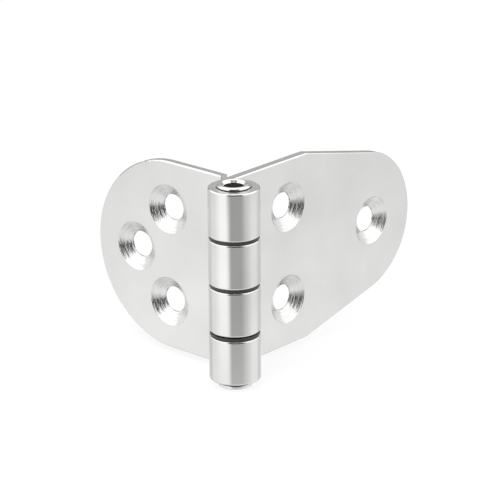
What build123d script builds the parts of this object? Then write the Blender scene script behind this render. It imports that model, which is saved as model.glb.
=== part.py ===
from build123d import *
import os
from math import asin, atan, cos, degrees, radians, sin

# Surface hinge of curled sheet steel, in millimetres. The pin stands along Z through the origin, at the
# middle of the barrel. The strap leaf runs along +X and the round leaf along +Y, both with their plain
# backs to the inside of the corner and their countersunk fronts to the outside.

# Sheet and barrel
sheet = 2.0
barrel_r = 5.0
barrel_h = 38.5
upper_knuckle_h = 9.5
seam_gap = 0.2
edge_r = 0.3

# Washers between the knuckles
washer_t = 0.65
washer_inset = 0.15
washer_edge = 0.1
axial_play = 0.3

# Tubular pin, rolled outward into a rim at both ends
pin_fit = 0.05
pin_wall = 1.0
pin_play = 0.6
rim_overhang = 0.3
rim_round_h = 0.35
lower_rim_side = 0.35
mouth_reach = 0.7
mouth_round_r = 0.4

# Strap leaf, with lengths taken along the leaf from the pin's axis
strap_shoulder = 24.9
strap_shoulder_r = 3.0
strap_end_r = 14.8
strap_reach = 57.2
strap_pair_at = 19.1
strap_single_at = 45.1

# Round leaf, with lengths taken the same way
round_reach = 38.9
round_pair_at = 20.0
round_single_at = 28.7

# Notches that clear the other leaf's knuckles
notch_clearance = 1.0
notch_corner_r = 0.8

# Countersunk screw holes
pair_spacing = 19.2
screw_hole_r = 2.6
countersink_r = 5.0
countersink_land = 0.3

# Values that follow from the driving dimensions
knuckle_count = 4
washer_count = knuckle_count - 1
near = 0.001
knuckle_h = (barrel_h - upper_knuckle_h - washer_count * washer_t - axial_play) / (knuckle_count - 1)
knuckle_heights = [upper_knuckle_h] + [knuckle_h] * (knuckle_count - 1)
bore_r = barrel_r - sheet
pin_r = bore_r - pin_fit
pin_bore_r = pin_r - pin_wall
rim_r = bore_r + rim_overhang
washer_r = barrel_r - washer_inset
half_h = barrel_h / 2
notch_edge = barrel_r + notch_clearance
round_straight = round_reach - half_h
countersink_angle = 2 * degrees(atan((countersink_r - screw_hole_r) / (sheet - countersink_land)))
strap_holes = [(strap_pair_at, pair_spacing / 2), (strap_pair_at, -pair_spacing / 2), (strap_single_at, 0)]
round_holes = [(round_pair_at, pair_spacing / 2), (round_pair_at, -pair_spacing / 2), (round_single_at, 0)]

# Lower ends of the knuckles and washers, from the top one down. The play lies above the lowest washer.
knuckle_base = [half_h - upper_knuckle_h - i * (knuckle_h + washer_t) for i in range(knuckle_count)]
knuckle_base[-1] = -half_h
washer_base = [base - washer_t for base in knuckle_base[:washer_count]]
washer_base[-1] = knuckle_base[-1] + knuckle_h
strap_knuckles = range(0, knuckle_count, 2)
round_knuckles = range(1, knuckle_count, 2)


def notch_span(knuckle):
    """Lower and upper end of the notch that clears this knuckle of the other leaf."""
    low = knuckle_base[knuckle + 1] + knuckle_h if knuckle + 1 < knuckle_count else -half_h
    high = knuckle_base[knuckle - 1] if knuckle else half_h
    return low, high


# Section of the sheet wrapped round the pin. It leaves the leaf's back at the tangent point, goes round the
# far side of the pin and ends in a seam just short of the leaf's front.
seam_angle = degrees(asin((bore_r - seam_gap) / barrel_r))
seam = Vector(cos(radians(seam_angle)), sin(radians(seam_angle)))
with BuildSketch(Plane.XY) as curl:
    with BuildLine():
        CenterArc((0, 0), barrel_r, 90, 270 + seam_angle)
        Line(seam * barrel_r, seam * bore_r)
        CenterArc((0, 0), bore_r, 90, 270 + seam_angle)
        Polyline((0, bore_r), (notch_edge, bore_r), (notch_edge, barrel_r), (0, barrel_r))
    make_face()

# Strap leaf: full height at the barrel, then tapered to a round end
strap_front = Plane.XZ.offset(-bore_r)
with BuildPart() as strap_leaf:
    with BuildSketch(strap_front) as strap_outline:
        with Locations((strap_shoulder / 2, 0)):
            Rectangle(strap_shoulder, barrel_h)
        with Locations((strap_reach - strap_end_r, 0)):
            Circle(strap_end_r)
        make_hull()
        corners = strap_outline.vertices()
        fillet(corners.filter_by_position(Axis.X, strap_shoulder - near, strap_shoulder + near), strap_shoulder_r)
        for knuckle in round_knuckles:
            low, high = notch_span(knuckle)
            with Locations((notch_edge / 2, (low + high) / 2)):
                Rectangle(notch_edge, high - low, mode=Mode.SUBTRACT)
        corners = strap_outline.vertices().filter_by_position(Axis.X, notch_edge - near, notch_edge + near)
        fillet(corners.filter_by_position(Axis.Y, near - half_h, half_h - near), notch_corner_r)
    extrude(amount=-sheet)
    for knuckle in strap_knuckles:
        with BuildSketch(Plane.XY.offset(knuckle_base[knuckle])):
            add(curl.sketch)
        extrude(amount=knuckle_heights[knuckle])
    edges = strap_leaf.edges()
    back_edges = edges.filter_by_position(Axis.Y, barrel_r - near, barrel_r + near)
    front_edges = edges.filter_by_position(Axis.Y, bore_r - near, bore_r + near)
    fillet(back_edges + front_edges, edge_r)
    with Locations(strap_front):
        with Locations(*strap_holes):
            CounterSinkHole(screw_hole_r, countersink_r, counter_sink_angle=countersink_angle)
strap_leaf.part.label = "strap_leaf"

# Round leaf: full height at the barrel, then a half-round end
with BuildPart() as round_leaf:
    with BuildSketch(Plane.YZ.offset(bore_r)) as round_outline:
        with BuildLine():
            Polyline((round_straight, half_h), (0, half_h), (0, -half_h), (round_straight, -half_h))
            CenterArc((round_straight, 0), half_h, -90, 180)
        make_face()
        for knuckle in strap_knuckles:
            low, high = notch_span(knuckle)
            with Locations((notch_edge / 2, (low + high) / 2)):
                Rectangle(notch_edge, high - low, mode=Mode.SUBTRACT)
        corners = round_outline.vertices().filter_by_position(Axis.X, notch_edge - near, notch_edge + near)
        fillet(corners.filter_by_position(Axis.Y, near - half_h, half_h - near), notch_corner_r)
    extrude(amount=sheet)
    for knuckle in round_knuckles:
        top = knuckle_base[knuckle] + knuckle_h
        with BuildSketch(Plane((0, 0, top), x_dir=(0, 1, 0), z_dir=(0, 0, -1))):
            add(curl.sketch)
        extrude(amount=knuckle_h)
    edges = round_leaf.edges()
    back_edges = edges.filter_by_position(Axis.X, barrel_r - near, barrel_r + near)
    front_edges = edges.filter_by_position(Axis.X, bore_r - near, bore_r + near)
    fillet(back_edges + front_edges, edge_r)
    with Locations(Plane((bore_r, 0, 0), x_dir=(0, 1, 0), z_dir=(-1, 0, 0))):
        with Locations(*round_holes):
            CounterSinkHole(screw_hole_r, countersink_r, counter_sink_angle=countersink_angle)
round_leaf.part.label = "round_leaf"

# Tubular pin: both ends are flared at 45 degrees and rolled outward into a rim with a rounded underside. The pin
# hangs by its upper rim, so that its play shows between the lowest knuckle and the taller lower rim.
shank_end = -half_h - pin_play
upper_side = half_h + rim_overhang
lower_side = shank_end - rim_overhang - lower_rim_side
rim_top = upper_side + rim_round_h
rim_bottom = lower_side - rim_round_h
crown_r = pin_bore_r + mouth_reach
crown_reach = rim_r - crown_r
mouth_depth = mouth_reach + mouth_round_r * (1 - 2 * sin(radians(45)))
with BuildPart() as hinge_pin:
    with BuildSketch(Plane.XZ):
        with BuildLine():
            upper_mouth = CenterArc((crown_r, rim_top - mouth_round_r), mouth_round_r, 90, 45)
            lower_mouth = CenterArc((crown_r, rim_bottom + mouth_round_r), mouth_round_r, 225, 45)
            Polyline(upper_mouth @ 1, (pin_bore_r, rim_top - mouth_depth), (pin_bore_r, rim_bottom + mouth_depth),
                     lower_mouth @ 0)
            EllipticalCenterArc((crown_r, upper_side), crown_reach, rim_round_h, 0, arc_size=90)
            CenterArc((bore_r, upper_side), rim_overhang, 270, 90)
            Polyline((bore_r, half_h), (pin_r, half_h), (pin_r, shank_end), (bore_r, shank_end))
            CenterArc((bore_r, shank_end - rim_overhang), rim_overhang, 0, 90)
            Line((rim_r, shank_end - rim_overhang), (rim_r, lower_side))
            EllipticalCenterArc((crown_r, lower_side), crown_reach, rim_round_h, 270, arc_size=90)
        make_face()
    revolve(axis=Axis.Z)
hinge_pin.part.label = "hinge_pin"

os.makedirs("parts", exist_ok=True)
export_step(strap_leaf.part, "parts/strap_leaf.step")
export_step(round_leaf.part, "parts/round_leaf.step")
export_step(hinge_pin.part, "parts/hinge_pin.step")

# Washers: flat rings that keep the knuckles apart
for name, base in zip(["washer_upper", "washer_middle", "washer_lower"], washer_base):
    with BuildPart() as washer:
        with BuildSketch(Plane.XY.offset(base)):
            Circle(washer_r)
            Circle(pin_r + pin_fit, mode=Mode.SUBTRACT)
        extrude(amount=washer_t)
        rims = washer.edges().filter_by(GeomType.CIRCLE).group_by(SortBy.RADIUS)[-1]
        chamfer(rims, washer_edge)
    washer.part.label = name
    export_step(washer.part, f"parts/{name}.step")
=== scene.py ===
from math import cos, pi, radians, sin

import bpy
from mathutils import Matrix, Vector


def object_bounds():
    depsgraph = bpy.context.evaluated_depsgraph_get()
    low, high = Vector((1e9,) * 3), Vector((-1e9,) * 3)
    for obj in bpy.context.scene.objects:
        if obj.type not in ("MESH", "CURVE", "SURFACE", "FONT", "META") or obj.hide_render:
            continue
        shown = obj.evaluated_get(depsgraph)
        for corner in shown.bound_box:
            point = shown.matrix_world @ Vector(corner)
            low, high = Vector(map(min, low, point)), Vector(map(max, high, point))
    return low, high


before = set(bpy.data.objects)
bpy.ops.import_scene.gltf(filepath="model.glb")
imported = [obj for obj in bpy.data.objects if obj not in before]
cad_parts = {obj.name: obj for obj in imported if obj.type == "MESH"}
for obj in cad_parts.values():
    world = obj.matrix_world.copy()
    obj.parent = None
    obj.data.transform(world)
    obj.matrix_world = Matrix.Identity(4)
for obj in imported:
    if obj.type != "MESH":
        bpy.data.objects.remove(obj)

cad_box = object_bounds()
bpy.ops.object.select_all(action="DESELECT")

# Sizes of the hinge, in metres. A hole's place is its distance along the leaf and its height.
MM = 0.001
SHEET_FRONT = 3.0 * MM
COUNTERSINK_END = 4.7 * MM
COUNTERSINK_R = 5.0 * MM
SCREW_HOLE_R = 2.6 * MM
STRAP_HOLES = [(19.1 * MM, 9.6 * MM), (19.1 * MM, -9.6 * MM), (45.1 * MM, 0.0)]
ROUND_HOLES = [(20.0 * MM, 9.6 * MM), (20.0 * MM, -9.6 * MM), (28.7 * MM, 0.0)]

# Camera: a long lens at the photograph's angle, turned a little about its own axis. It looks at a point a
# little to the right of the barrel's middle and above it.
VIEW_AZIMUTH = radians(48.23)
VIEW_ELEVATION = radians(19.47)
VIEW_ROLL = radians(-0.42)
VIEW_DISTANCE = 489.0 * MM
TARGET_RIGHT = 1.09 * MM
TARGET_UP = 8.6 * MM
FOCAL_PIXELS = 2585.0
IMAGE_PIXELS = 480.0
SENSOR_MM = 36.0


def camera_axes():
    """The level direction to the camera's right, and the camera's own right, up and back directions."""
    level_right = Vector((cos(VIEW_AZIMUTH), -sin(VIEW_AZIMUTH), 0.0))
    away = Vector((sin(VIEW_AZIMUTH), cos(VIEW_AZIMUTH), 0.0))
    up = sin(VIEW_ELEVATION) * away + cos(VIEW_ELEVATION) * Vector((0.0, 0.0, 1.0))
    back = -cos(VIEW_ELEVATION) * away + sin(VIEW_ELEVATION) * Vector((0.0, 0.0, 1.0))
    rolled_right = cos(VIEW_ROLL) * level_right + sin(VIEW_ROLL) * up
    rolled_up = -sin(VIEW_ROLL) * level_right + cos(VIEW_ROLL) * up
    return level_right, rolled_right, rolled_up, back


def add_camera():
    level_right, right, up, back = camera_axes()
    data = bpy.data.cameras.new("photo_camera")
    data.sensor_width = SENSOR_MM
    data.lens = FOCAL_PIXELS / IMAGE_PIXELS * SENSOR_MM
    data.clip_start = 10.0 * MM
    camera = bpy.data.objects.new("photo_camera", data)
    bpy.context.collection.objects.link(camera)
    place = TARGET_RIGHT * level_right + Vector((0.0, 0.0, TARGET_UP)) + VIEW_DISTANCE * back
    turn = Matrix((right, up, back)).transposed().to_4x4()
    camera.matrix_world = Matrix.Translation(place) @ turn
    bpy.context.scene.camera = camera


def linear(code):
    """An sRGB hex colour as the linear colour that shaders take."""
    parts = [int(code[i:i + 2], 16) / 255 for i in (1, 3, 5)]
    return tuple(c / 12.92 if c <= 0.04045 else ((c + 0.055) / 1.055) ** 2.4 for c in parts) + (1.0,)


def add_node(tree, kind, inputs=None, stops=None, **settings):
    """Adds a shader node with its settings. An input is a value, or the socket or the node that feeds it.
    The stops of a colour ramp are pairs of a place from 0 to 1 and a grey level. A Mix node's two inputs go
    by number, because their names repeat: 2 and 3 for numbers, and 6 and 7 for colours."""
    made = tree.nodes.new(kind)
    for i, (at, grey) in enumerate(stops or []):
        element = made.color_ramp.elements[i] if i < 2 else made.color_ramp.elements.new(at)
        element.position = at
        element.color = (grey, grey, grey, 1.0)
    for name, value in settings.items():
        setattr(made, name, value)
    for socket, value in (inputs or {}).items():
        if isinstance(value, bpy.types.Node):
            value = value.outputs[0]
        if isinstance(value, bpy.types.NodeSocket):
            tree.links.new(value, made.inputs[socket])
        else:
            made.inputs[socket].default_value = value
    return made


def new_material(name):
    material = bpy.data.materials.new(name)
    material.use_nodes = True
    material.node_tree.nodes.clear()
    return material, material.node_tree


# Finish of the steel. Sizes and depths are in metres. A shade is how far the metal's colour goes towards the
# dark one, from 0 to 1. The real grain and turning marks are too fine to show, and are drawn coarser and
# deeper. The pair of a noise or a slope is where an effect starts and where it is full, and the slope is 1 on
# a level face and 0 on an upright one.
STEEL = "#ebebea"
# The dark colour is also the painted shade in the grooves, on the holes' walls and in the pin's crevices
DARK_STEEL = "#3f3b36"
HAZE_SIZE = 1.43 * MM
HAZE_ROUGHNESS = (0.09, 0.13)
CLOUD_SIZE = 11.1 * MM
CLOUD_NOISE = (0.3, 0.7)
CLOUD_SHADE = 0.09
SATIN_SLOPE = (0.9, 0.97)
SATIN_ROUGHNESS = 0.2
GRAIN_SIZE = 0.286 * MM
GRAIN_DEPTH = 0.003 * MM
TURNED_ROUGHNESS = 0.06
MARK_LENGTH = 2.63 * MM
MARK_WIDTH = 0.376 * MM
MARK_DEPTH = 0.11 * MM
# The grooves of the turning marks get painted shade
GROOVE_NOISE = (0.58, 0.38)
GROOVE_SHADE = 0.08
# The punched walls of the screw holes get painted shade
LAND_REACH = 0.1 * MM
LAND_SHADE = 0.29

# Punched edges. A run is its middle and half its length along the leaf, and the width that the punch
# burnished. The roll-over is how far the burnished part leans to the front.
STRAP_EDGE = (12.5 * MM, 12.5 * MM, 0.3 * MM)
ROUND_EDGE = (18.0 * MM, 12.0 * MM, 0.5 * MM)
EDGE_FADE = 6.0 * MM
EDGE_SLOPE = (0.8, 0.97)
ROLL_OVER = 0.7
BURNISH_POLISH = 0.15
TEAR_HALF = 0.15 * MM
TEAR_SHADE = 0.2

# Painted shade in the pin's bore and in the corners under its rims, where the colour goes dark and the
# metal dull. Each is a ring's radius and height, with the reach of the shade on either side of each.
KNUCKLE_PAINTED_SHADE = [(3.2 * MM, 19.1 * MM, 0.2 * MM, 0.25 * MM)]
PIN_PAINTED_SHADE = [(3.1 * MM, 19.25 * MM, 0.22 * MM, 0.1 * MM), (3.1 * MM, -19.95 * MM, 0.25 * MM, 0.14 * MM),
            (1.95 * MM, 0.0, 0.1 * MM, 19.2 * MM)]


def countersink_pattern(tree, axes, thickness_axis, holes):
    """Where a countersink is cut into the sheet and where its punched land is, each as 0 or 1, and the marks
    that turning it left in rings."""
    length_axis = "X" if thickness_axis == "Y" else "Y"
    nearest = None
    for along, up in holes:
        across = add_node(tree, "ShaderNodeMath", {0: axes.outputs[length_axis], 1: along},
                          operation="SUBTRACT")
        upward = add_node(tree, "ShaderNodeMath", {0: axes.outputs["Z"], 1: up}, operation="SUBTRACT")
        offset = add_node(tree, "ShaderNodeCombineXYZ", {0: across, 1: upward})
        reach = add_node(tree, "ShaderNodeVectorMath", {0: offset}, operation="LENGTH").outputs["Value"]
        if nearest:
            reach = add_node(tree, "ShaderNodeMath", {0: nearest, 1: reach}, operation="MINIMUM")
        nearest = reach
    inside = add_node(tree, "ShaderNodeMath", {0: nearest, 1: COUNTERSINK_R}, operation="LESS_THAN")
    depth = axes.outputs[thickness_axis]
    turned = add_node(tree, "ShaderNodeMath", {0: depth, 1: COUNTERSINK_END}, operation="LESS_THAN")
    cut = add_node(tree, "ShaderNodeMath", {0: inside, 1: turned}, operation="MULTIPLY")
    mouth = add_node(tree, "ShaderNodeMath", {0: nearest, 1: SCREW_HOLE_R, 2: LAND_REACH},
                     operation="COMPARE")
    punched = add_node(tree, "ShaderNodeMath", {0: depth, 1: COUNTERSINK_END}, operation="GREATER_THAN")
    land = add_node(tree, "ShaderNodeMath", {0: mouth, 1: punched}, operation="MULTIPLY")
    stretched = add_node(tree, "ShaderNodeMath", {0: nearest, 1: MARK_LENGTH / MARK_WIDTH},
                         operation="MULTIPLY")
    ring = add_node(tree, "ShaderNodeCombineXYZ", {0: stretched, 1: axes.outputs[length_axis],
                                                   2: axes.outputs["Z"]})
    marks = add_node(tree, "ShaderNodeTexNoise", {"Vector": ring, "Scale": 1 / MARK_LENGTH, "Detail": 3.0,
                                                  "Roughness": 0.6})
    return cut, land, marks


def punched_edge(tree, axes, thickness_axis, level, run):
    """The level edges of the sheet, from 0 to 1: the front part that the punch burnished and rolled over, and
    the dull line where the tear behind it starts. Both run out to a point."""
    length_axis = "X" if thickness_axis == "Y" else "Y"
    middle, half_length, burnish = run
    flat = add_node(tree, "ShaderNodeMapRange", {"Value": level, "From Min": EDGE_SLOPE[0],
                                                 "From Max": EDGE_SLOPE[1]})
    along = add_node(tree, "ShaderNodeMath", {0: axes.outputs[length_axis], 1: middle}, operation="SUBTRACT")
    along = add_node(tree, "ShaderNodeMath", {0: along}, operation="ABSOLUTE")
    along = add_node(tree, "ShaderNodeMapRange", {"Value": along, "From Min": half_length + EDGE_FADE / 2,
                                                  "From Max": half_length - EDGE_FADE / 2})
    depth = axes.outputs[thickness_axis]
    reach = add_node(tree, "ShaderNodeMath", {0: along, 1: burnish / 2}, operation="MULTIPLY")
    centre = add_node(tree, "ShaderNodeMath", {0: reach, 1: SHEET_FRONT}, operation="ADD")
    front = add_node(tree, "ShaderNodeMath", {0: depth, 1: centre, 2: reach}, operation="COMPARE")
    burnished = add_node(tree, "ShaderNodeMath", {0: flat, 1: front}, operation="MULTIPLY")
    behind = add_node(tree, "ShaderNodeMath", {0: along, 1: burnish, 2: SHEET_FRONT + TEAR_HALF},
                      operation="MULTIPLY_ADD")
    tear = add_node(tree, "ShaderNodeMath", {0: depth, 1: behind, 2: TEAR_HALF}, operation="COMPARE")
    dull = add_node(tree, "ShaderNodeMath", {0: flat, 1: along}, operation="MULTIPLY")
    torn = add_node(tree, "ShaderNodeMath", {0: dull, 1: tear}, operation="MULTIPLY")
    return burnished, torn


def joint_painted_shade(tree, axes, rings):
    """Where shade is painted in the bore and in the corners under the pin's rims, as 0 or 1."""
    flat = add_node(tree, "ShaderNodeCombineXYZ", {0: axes.outputs["X"], 1: axes.outputs["Y"]})
    radius = add_node(tree, "ShaderNodeVectorMath", {0: flat}, operation="LENGTH").outputs["Value"]
    crevice_shade = 0.0
    for ring_r, ring_z, reach_r, reach_z in rings:
        around = add_node(tree, "ShaderNodeMath", {0: radius, 1: ring_r, 2: reach_r}, operation="COMPARE")
        along = add_node(tree, "ShaderNodeMath", {0: axes.outputs["Z"], 1: ring_z, 2: reach_z},
                         operation="COMPARE")
        crevice_shade = add_node(tree, "ShaderNodeMath", {0: around, 1: along, 2: crevice_shade}, operation="MULTIPLY_ADD")
    return crevice_shade


def polished_stainless(name, thickness_axis=None, holes=(), run=None, rings=()):
    """Stainless sheet and tube, mirror polished on the faces, where the wheel leaves a faint haze and cloudy
    patches about a centimetre wide. Cut ends stay satin. A leaf also has burnished edges, which catch the
    light along its front, and countersinks that glitter with broken rings from turning, with painted shade
    in their grooves and on the holes' walls. Its thickness axis goes through the sheet, the run is of its
    edges, and the rings are where shade is painted in the pin's bore and under its rims."""
    material, tree = new_material(name)
    place = add_node(tree, "ShaderNodeTexCoord")
    spot = place.outputs["Object"]
    normal = place.outputs["Normal"]
    axes = add_node(tree, "ShaderNodeSeparateXYZ", {0: spot})
    facing = add_node(tree, "ShaderNodeSeparateXYZ", {0: normal})
    level = add_node(tree, "ShaderNodeMath", {0: facing.outputs["Z"]}, operation="ABSOLUTE")

    # Haze and clouds from the polishing wheel
    haze = add_node(tree, "ShaderNodeTexNoise", {"Vector": spot, "Scale": 1 / HAZE_SIZE, "Detail": 5.0})
    rough = add_node(tree, "ShaderNodeMapRange", {"Value": haze, "To Min": HAZE_ROUGHNESS[0],
                                                  "To Max": HAZE_ROUGHNESS[1]})
    cloud = add_node(tree, "ShaderNodeTexNoise", {"Vector": spot, "Scale": 1 / CLOUD_SIZE, "Detail": 3.0})
    shade = add_node(tree, "ShaderNodeMapRange", {"Value": cloud, "From Min": CLOUD_NOISE[0],
                                                  "From Max": CLOUD_NOISE[1], "To Max": CLOUD_SHADE})

    # Satin cut ends with a fine grain
    ends = add_node(tree, "ShaderNodeMapRange", {"Value": level, "From Min": SATIN_SLOPE[0],
                                                 "From Max": SATIN_SLOPE[1]})
    rough = add_node(tree, "ShaderNodeMath", {0: ends, 1: SATIN_ROUGHNESS, 2: rough},
                     operation="MULTIPLY_ADD")
    grain = add_node(tree, "ShaderNodeTexNoise", {"Vector": spot, "Scale": 1 / GRAIN_SIZE, "Detail": 2.0})
    depth = add_node(tree, "ShaderNodeMath", {0: ends, 1: GRAIN_DEPTH}, operation="MULTIPLY")
    height = add_node(tree, "ShaderNodeMath", {0: grain, 1: depth}, operation="MULTIPLY")

    # Painted shade in the pin's bore and under its rims, where the colour goes dark and the metal dull
    metal = 1.0
    if rings:
        crevice_shade = joint_painted_shade(tree, axes, rings)
        metal = add_node(tree, "ShaderNodeMath", {0: 1.0, 1: crevice_shade}, operation="SUBTRACT")
        shade = add_node(tree, "ShaderNodeMath", {0: crevice_shade, 1: shade}, operation="MAXIMUM")

    if holes:
        burnished, torn = punched_edge(tree, axes, thickness_axis, level, run)
        forward = (0.0, -ROLL_OVER, 0.0) if thickness_axis == "Y" else (-ROLL_OVER, 0.0, 0.0)
        normal = add_node(tree, "ShaderNodeVectorMath", {0: burnished, 1: forward, 2: normal},
                          operation="MULTIPLY_ADD")
        rough = add_node(tree, "ShaderNodeMath", {0: burnished, 1: -BURNISH_POLISH, 2: rough},
                         operation="MULTIPLY_ADD")
        shade = add_node(tree, "ShaderNodeMath", {0: torn, 1: TEAR_SHADE, 2: shade}, operation="MULTIPLY_ADD")

        cut, land, marks = countersink_pattern(tree, axes, thickness_axis, holes)
        rough = add_node(tree, "ShaderNodeMath", {0: cut, 1: TURNED_ROUGHNESS, 2: rough},
                         operation="MULTIPLY_ADD")
        depth = add_node(tree, "ShaderNodeMath", {0: cut, 1: MARK_DEPTH}, operation="MULTIPLY")
        height = add_node(tree, "ShaderNodeMath", {0: marks, 1: depth, 2: height}, operation="MULTIPLY_ADD")
        # Painted shade in the turning grooves: the deeper the groove, the darker the colour
        groove = add_node(tree, "ShaderNodeMapRange", {"Value": marks, "From Min": GROOVE_NOISE[0],
                                                       "From Max": GROOVE_NOISE[1], "To Max": GROOVE_SHADE})
        shade = add_node(tree, "ShaderNodeMath", {0: groove, 1: cut, 2: shade}, operation="MULTIPLY_ADD")
        # Painted shade on the punched wall of each screw hole, a thin dark line round the hole
        shade = add_node(tree, "ShaderNodeMath", {0: land, 1: LAND_SHADE, 2: shade}, operation="MULTIPLY_ADD")

    colour = add_node(tree, "ShaderNodeMix", {"Factor": shade, 6: linear(STEEL), 7: linear(DARK_STEEL)},
                      data_type="RGBA")
    normal = add_node(tree, "ShaderNodeVectorTransform", {0: normal}, vector_type="NORMAL",
                      convert_from="OBJECT", convert_to="WORLD")
    bump = add_node(tree, "ShaderNodeBump", {"Height": height, "Distance": 1.0, "Normal": normal})
    shader = add_node(tree, "ShaderNodeBsdfPrincipled", {
        "Base Color": colour.outputs[2], "Metallic": metal, "Roughness": rough, "Normal": bump})
    add_node(tree, "ShaderNodeOutputMaterial", {"Surface": shader})
    return material


NYLON = "#2a2a2b"
PEBBLE_SIZE = 0.333 * MM
PEBBLE_DEPTH = 0.02 * MM


def black_nylon():
    """Moulded black nylon: dark grey to the eye, half glossy, with a fine pebbled skin."""
    material, tree = new_material("black_nylon")
    place = add_node(tree, "ShaderNodeTexCoord").outputs["Object"]
    skin = add_node(tree, "ShaderNodeTexNoise", {"Vector": place, "Scale": 1 / PEBBLE_SIZE, "Detail": 3.0})
    bump = add_node(tree, "ShaderNodeBump", {"Height": skin, "Distance": PEBBLE_DEPTH, "Strength": 0.6})
    shader = add_node(tree, "ShaderNodeBsdfPrincipled", {"Base Color": linear(NYLON), "Roughness": 0.3,
                                                         "Normal": bump})
    add_node(tree, "ShaderNodeOutputMaterial", {"Surface": shader})
    return material


def dress(name, material):
    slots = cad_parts[name].data.materials
    slots.clear()
    slots.append(material)


nylon = black_nylon()
dress("strap_leaf", polished_stainless("strap_stainless", "Y", STRAP_HOLES, STRAP_EDGE, KNUCKLE_PAINTED_SHADE))
dress("round_leaf", polished_stainless("round_stainless", "X", ROUND_HOLES, ROUND_EDGE))
dress("hinge_pin", polished_stainless("pin_stainless", rings=PIN_PAINTED_SHADE))
for name in ("washer_upper", "washer_middle", "washer_lower"):
    dress(name, nylon)

# World and floor. A brightness of 1 is white, and the floor's side is in metres.
WHITE = (1.0, 1.0, 1.0, 1.0)
FILL_LEVEL = 0.55
FLOOR_SIZE = 6.0
FLOOR_COLOUR = "#f4f4f4"
FLOOR_WHITE_SHARE = 0.85


def add_world():
    """White for camera, mirror and transmission rays, and a soft grey fill for everything else."""
    world = bpy.data.worlds.new("studio")
    bpy.context.scene.world = world
    world.use_nodes = True
    tree = world.node_tree
    tree.nodes.clear()
    rays = add_node(tree, "ShaderNodeLightPath")
    seen = rays.outputs["Is Camera Ray"]
    for kind in ("Is Glossy Ray", "Is Transmission Ray"):
        seen = add_node(tree, "ShaderNodeMath", {0: seen, 1: rays.outputs[kind]}, operation="MAXIMUM")
    white = add_node(tree, "ShaderNodeBackground", {"Color": WHITE, "Strength": 1.0})
    fill = add_node(tree, "ShaderNodeBackground", {"Color": WHITE, "Strength": FILL_LEVEL})
    mixed = add_node(tree, "ShaderNodeMixShader", {0: seen, 1: fill, 2: white})
    add_node(tree, "ShaderNodeOutputWorld", {"Surface": mixed})


def add_floor():
    """A pale floor, nearly white to the camera, with the hinge's soft shadow. The metal doesn't mirror it."""
    bpy.ops.mesh.primitive_plane_add(size=FLOOR_SIZE, location=(0, 0, cad_box[0][2]))
    floor = bpy.context.object
    floor.name = "floor"
    material, tree = new_material("pale_floor")
    rays = add_node(tree, "ShaderNodeLightPath")
    lit = add_node(tree, "ShaderNodeBsdfDiffuse", {"Color": linear(FLOOR_COLOUR)})
    white = add_node(tree, "ShaderNodeEmission", {"Color": WHITE, "Strength": 1.0})
    share = add_node(tree, "ShaderNodeMath", {0: rays.outputs["Is Camera Ray"], 1: FLOOR_WHITE_SHARE},
                     operation="MULTIPLY")
    mixed = add_node(tree, "ShaderNodeMixShader", {0: share, 1: lit, 2: white})
    add_node(tree, "ShaderNodeOutputMaterial", {"Surface": mixed})
    floor.data.materials.append(material)
    floor.visible_glossy = False


# Light tent: what the metal mirrors. The wall is pairs of a height and its brightness, and the panels are
# laid on it in the order of their list. A panel is its bearings, its heights and its brightness. The outer
# two of four angles are where it starts to fade in, the inner two where it is full. Bearings start at the
# camera and run to its right, and heights start at the level of the barrel's middle, all in degrees.
TENT_RADIUS = 0.6
TENT_WALL = [(-60, 0.7), (-55, 0.95), (-23, 0.95), (-16, 0.85), (14, 0.95), (20, 1.4), (70, 1.4), (78, 1.8)]
LIT_SIDE = ((-95, -60, -36, -24), (-26, -22, 14, 20), 1.15)
TABLE_EDGE = ((-26, -14, 30, 84), (-30, -22, -17, -14), 0.42)
TABLE_SHADOW = ((125, 145, 215, 235), (-60, -52, -33, -27), 0.3)
LEFT_CORNER = ((195, 210, 230, 250), (-28, -24, -15, -10), 0.7)
RIGHT_CORNER = ((110, 130, 150, 165), (-28, -24, -15, -10), 0.7)
SHADED_BACK = ((130, 145, 215, 230), (-18, -11, 34, 40), 0.4)
CAMERA_OPENING = ((-36, -28, 36, 47), (-18, -11, 60, 63), 0.08)
OPENING_FLAP = ((-60, -50, 50, 60), (60, 63, 71, 78), 0.3)
TENT_PANELS = [LIT_SIDE, TABLE_EDGE, TABLE_SHADOW, LEFT_CORNER, RIGHT_CORNER, SHADED_BACK, CAMERA_OPENING,
               OPENING_FLAP]

# A colour ramp's greys end at 1, so the wall's levels are divided by this for it, and then multiplied again
RAMP_SCALE = 2.0


def soft_window(tree, value, angles):
    """1 between the inner two of four angles, in degrees, and 0 outside the outer two."""
    start, full, last, end = (radians(angle) for angle in angles)
    rising = add_node(tree, "ShaderNodeMapRange", {"Value": value, "From Min": start, "From Max": full})
    falling = add_node(tree, "ShaderNodeMapRange", {"Value": value, "From Min": end, "From Max": last})
    return add_node(tree, "ShaderNodeMath", {0: rising, 1: falling}, operation="MULTIPLY")


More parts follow.
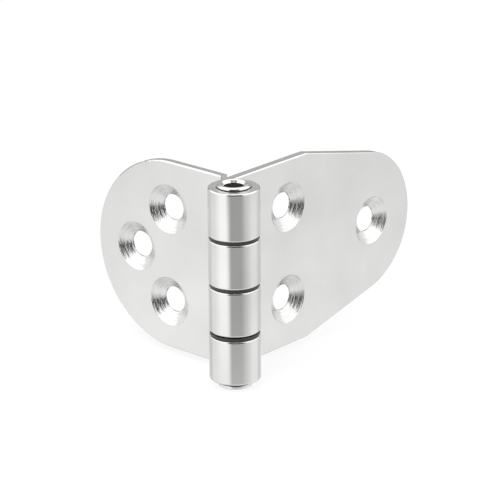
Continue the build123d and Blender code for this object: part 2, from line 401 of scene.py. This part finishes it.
def add_tent():
    """The light tent, a sphere round the hinge that only mirror reflections meet."""
    bpy.ops.mesh.primitive_uv_sphere_add(segments=64, ring_count=32, radius=TENT_RADIUS)
    tent = bpy.context.object
    tent.name = "light_tent"
    material, tree = new_material("tent_fabric")
    place = add_node(tree, "ShaderNodeTexCoord").outputs["Object"]
    turned = add_node(tree, "ShaderNodeMapping", {"Vector": place, "Rotation": (0, 0, VIEW_AZIMUTH)})
    axes = add_node(tree, "ShaderNodeSeparateXYZ", {0: turned})
    toward = add_node(tree, "ShaderNodeMath", {0: axes.outputs["Y"], 1: -1.0}, operation="MULTIPLY")
    bearing = add_node(tree, "ShaderNodeMath", {0: axes.outputs["X"], 1: toward}, operation="ARCTAN2")
    rise = add_node(tree, "ShaderNodeMath", {0: axes.outputs["Z"], 1: TENT_RADIUS}, operation="DIVIDE")
    height = add_node(tree, "ShaderNodeMath", {0: rise}, operation="ARCSINE")
    upward = add_node(tree, "ShaderNodeMapRange", {"Value": height, "From Min": -pi / 2, "From Max": pi / 2})
    stops = [((at + 90) / 180, level / RAMP_SCALE) for at, level in TENT_WALL]
    wall = add_node(tree, "ShaderNodeValToRGB", {0: upward}, stops)
    glow = add_node(tree, "ShaderNodeMath", {0: wall, 1: RAMP_SCALE}, operation="MULTIPLY")
    for bearings, heights, level in TENT_PANELS:
        middle = radians(sum(bearings) / 4)
        around = add_node(tree, "ShaderNodeMath", {0: bearing, 1: middle + pi, 2: middle - pi},
                          operation="WRAP")
        wide = soft_window(tree, around, bearings)
        tall = soft_window(tree, height, heights)
        share = add_node(tree, "ShaderNodeMath", {0: wide, 1: tall}, operation="MULTIPLY")
        glow = add_node(tree, "ShaderNodeMix", {0: share, 2: glow, 3: level}, data_type="FLOAT")
    shader = add_node(tree, "ShaderNodeEmission", {"Color": WHITE, "Strength": glow})
    add_node(tree, "ShaderNodeOutputMaterial", {"Surface": shader})
    material.cycles.emission_sampling = "NONE"
    tent.data.materials.append(material)
    tent.visible_camera = False
    tent.visible_diffuse = False
    tent.visible_transmission = False
    tent.visible_shadow = False


# Lamps: their distance and size in metres, and their power in watts
LAMP_DISTANCE = 1.2
LAMP_SIZE = 0.8
KEY_POWER = 14.0
FILL_POWER = 7.0


def add_lamp(name, bearing, height, power):
    """A soft square lamp that shines at the hinge and shows in no reflection. Its bearing and height are
    measured as the tent's are."""
    turn = radians(bearing) - VIEW_AZIMUTH
    rise = radians(height)
    data = bpy.data.lights.new(name, "AREA")
    data.size = LAMP_SIZE
    data.energy = power
    lamp = bpy.data.objects.new(name, data)
    bpy.context.collection.objects.link(lamp)
    away = Vector((sin(turn) * cos(rise), -cos(turn) * cos(rise), sin(rise)))
    lamp.location = LAMP_DISTANCE * away
    lamp.rotation_euler = away.to_track_quat("Z", "Y").to_euler()
    lamp.visible_glossy = False


add_camera()
add_world()
add_floor()
add_tent()
add_lamp("key_lamp", bearing=-40, height=55, power=KEY_POWER)
add_lamp("fill_lamp", bearing=60, height=40, power=FILL_POWER)
bpy.context.scene.view_settings.view_transform = "Standard"
